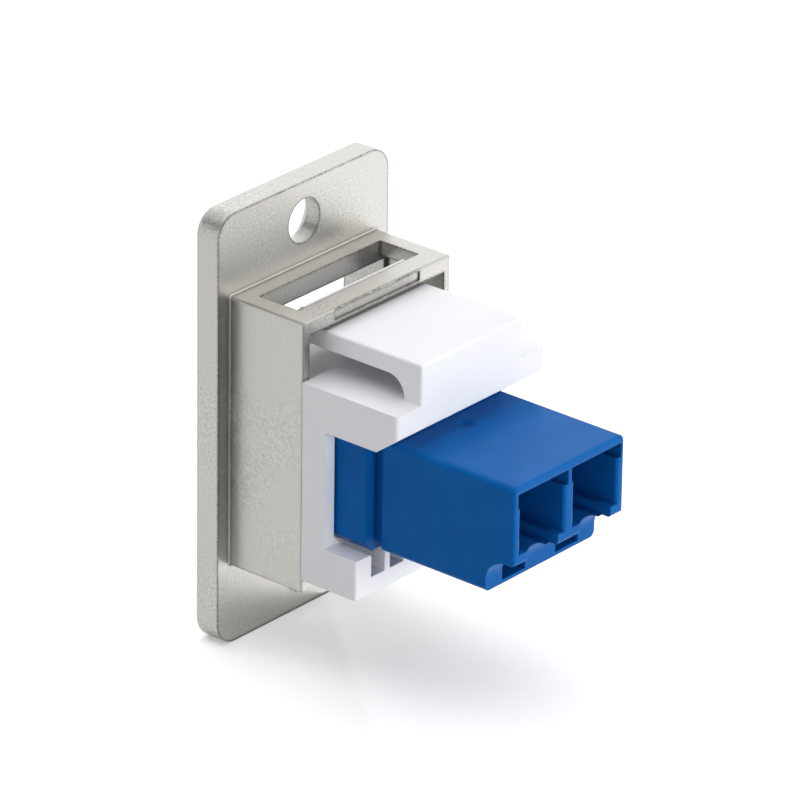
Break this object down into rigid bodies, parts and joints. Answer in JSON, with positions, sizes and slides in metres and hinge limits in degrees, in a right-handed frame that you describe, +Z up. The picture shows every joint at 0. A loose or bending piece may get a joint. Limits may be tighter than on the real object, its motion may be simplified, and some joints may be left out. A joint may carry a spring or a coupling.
{
  "type": "lc fibre adapter",
  "caption": "LC fibre adapter in a snap-in keystone housing, held in a metal mounting frame with a screw flange.",
  "frame": {"origin": "centre of the flange's rear face, midway between the two screw holes", "axes": "+Z up along the flange through both screw holes, +Y out of the rear of the panel along the ports, +X across the flange"},
  "size_m": [0.0196, 0.0287, 0.036],
  "materials": {
    "nickel_plate": "satin nickel plating on a die-casting, with a fine cast grain",
    "white_plastic": "fine satin moulded white",
    "blue_plastic": "semi-gloss moulded blue",
    "sleeve_ceramic": "polished zirconia"
  },
  "bodies": {
    "root": {"mounting_frame": "nickel_plate", "keystone_housing": "white_plastic", "front_shell": "blue_plastic", "rear_shell": "blue_plastic", "sleeve_left": "sleeve_ceramic", "sleeve_right": "sleeve_ceramic"}
  },
  "joints": []
}
